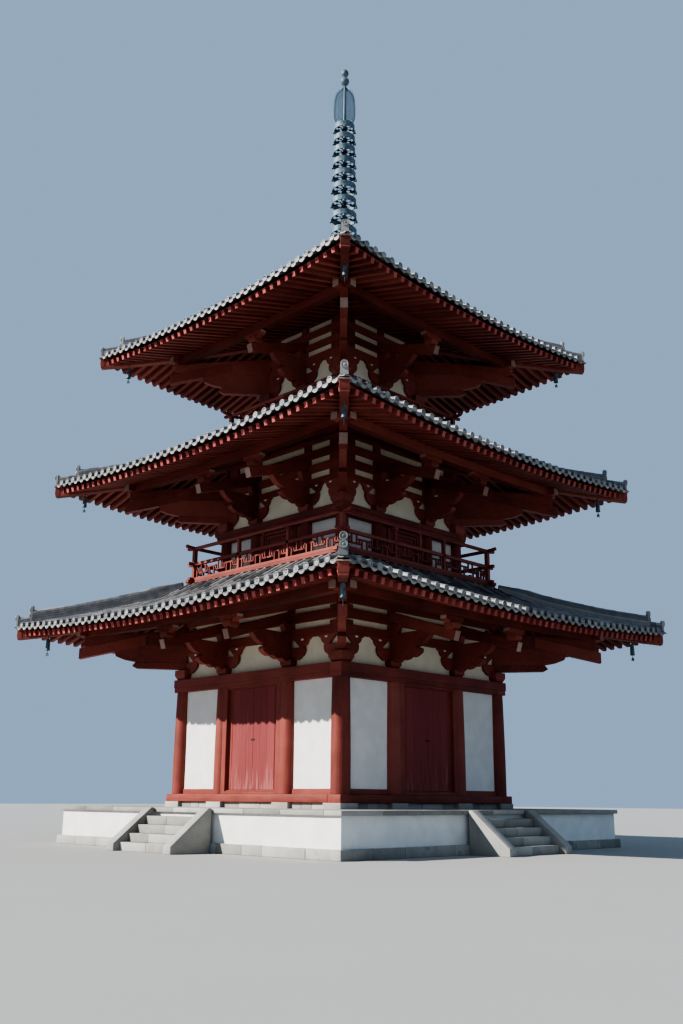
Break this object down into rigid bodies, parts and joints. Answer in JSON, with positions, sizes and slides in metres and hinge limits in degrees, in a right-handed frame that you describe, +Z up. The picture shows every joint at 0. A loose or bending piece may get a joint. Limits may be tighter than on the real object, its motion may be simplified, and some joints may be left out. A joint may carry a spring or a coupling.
{
  "type": "three-storey pagoda",
  "caption": "Timber pagoda with red frames, white plaster, grey tiled roofs, railed upper storeys and a ringed bronze finial, on a stone podium with steps and hinged double doors.",
  "frame": {"origin": "ground level under the podium's middle", "axes": "+Z up, -Y out of the front doorway, +X out of the right doorway"},
  "size_m": [13.5744, 13.5744, 25.355],
  "materials": {
    "timber": "red lime-based paint, weathered",
    "door": "red paint, streaked where rain reaches it",
    "plaster": "matt lime plaster",
    "tile": "smoked grey clay tile",
    "stone": "dressed stone and pale render",
    "bronze": "verdigris bronze"
  },
  "bodies": {
    "pagoda": {"stone_podium": "stone", "ground_sill": "timber", "front_steps": "stone", "front_doorway_frame": "timber", "front_corner_post": "timber", "front_left_wall_panel": "plaster", "front_right_wall_panel": "plaster", "right_steps": "stone", "right_doorway_frame": "timber", "right_corner_post": "timber", "right_left_wall_panel": "plaster", "right_right_wall_panel": "plaster", "back_steps": "stone", "back_doorway_frame": "timber", "back_corner_post": "timber", "back_left_wall_panel": "plaster", "back_right_wall_panel": "plaster", "left_steps": "stone", "left_doorway_frame": "timber", "left_corner_post": "timber", "left_left_wall_panel": "plaster", "left_right_wall_panel": "plaster", "storey_1_bracket_frame": "timber", "storey_1_rafters": "timber", "storey_1_tile_roof": "tile", "storey_1_plaster_frieze": "plaster", "storey_2_bracket_frame": "timber", "storey_2_rafters": "timber", "storey_2_tile_roof": "tile", "storey_2_wall_frame": "timber", "storey_2_plaster_wall": "plaster", "storey_2_railing": "timber", "storey_3_bracket_frame": "timber", "storey_3_rafters": "timber", "storey_3_tile_roof": "tile", "storey_3_wall_frame": "timber", "storey_3_plaster_wall": "plaster", "storey_3_railing": "timber", "dew_basin": "bronze", "nine_ring_spire": "bronze", "flame_and_jewels": "bronze"},
    "front_left_door": {"front_left_door_leaf": "door"},
    "front_right_door": {"front_right_door_leaf": "door"},
    "right_left_door": {"right_left_door_leaf": "door"},
    "right_right_door": {"right_right_door_leaf": "door"},
    "back_left_door": {"back_left_door_leaf": "door"},
    "back_right_door": {"back_right_door_leaf": "door"},
    "left_left_door": {"left_left_door_leaf": "door"},
    "left_right_door": {"left_right_door_leaf": "door"}
  },
  "joints": [
    {"name": "front_left_door_hinge", "type": "hinge", "parent": "pagoda", "child": "front_left_door", "pos_m": [-0.829, -3.21, 2.75], "axis": [0, 0, 1], "range_deg": [0, 90]},
    {"name": "front_right_door_hinge", "type": "hinge", "parent": "pagoda", "child": "front_right_door", "pos_m": [0.829, -3.21, 2.75], "axis": [0, 0, 1], "range_deg": [-90, 0]},
    {"name": "right_left_door_hinge", "type": "hinge", "parent": "pagoda", "child": "right_left_door", "pos_m": [3.21, -0.829, 2.75], "axis": [0, 0, 1], "range_deg": [0, 90]},
    {"name": "right_right_door_hinge", "type": "hinge", "parent": "pagoda", "child": "right_right_door", "pos_m": [3.21, 0.829, 2.75], "axis": [0, 0, 1], "range_deg": [-90, 0]},
    {"name": "back_left_door_hinge", "type": "hinge", "parent": "pagoda", "child": "back_left_door", "pos_m": [0.829, 3.21, 2.75], "axis": [0, 0, 1], "range_deg": [0, 90]},
    {"name": "back_right_door_hinge", "type": "hinge", "parent": "pagoda", "child": "back_right_door", "pos_m": [-0.829, 3.21, 2.75], "axis": [0, 0, 1], "range_deg": [-90, 0]},
    {"name": "left_left_door_hinge", "type": "hinge", "parent": "pagoda", "child": "left_left_door", "pos_m": [-3.21, 0.829, 2.75], "axis": [0, 0, 1], "range_deg": [0, 90]},
    {"name": "left_right_door_hinge", "type": "hinge", "parent": "pagoda", "child": "left_right_door", "pos_m": [-3.21, -0.829, 2.75], "axis": [0, 0, 1], "range_deg": [-90, 0]}
  ]
}
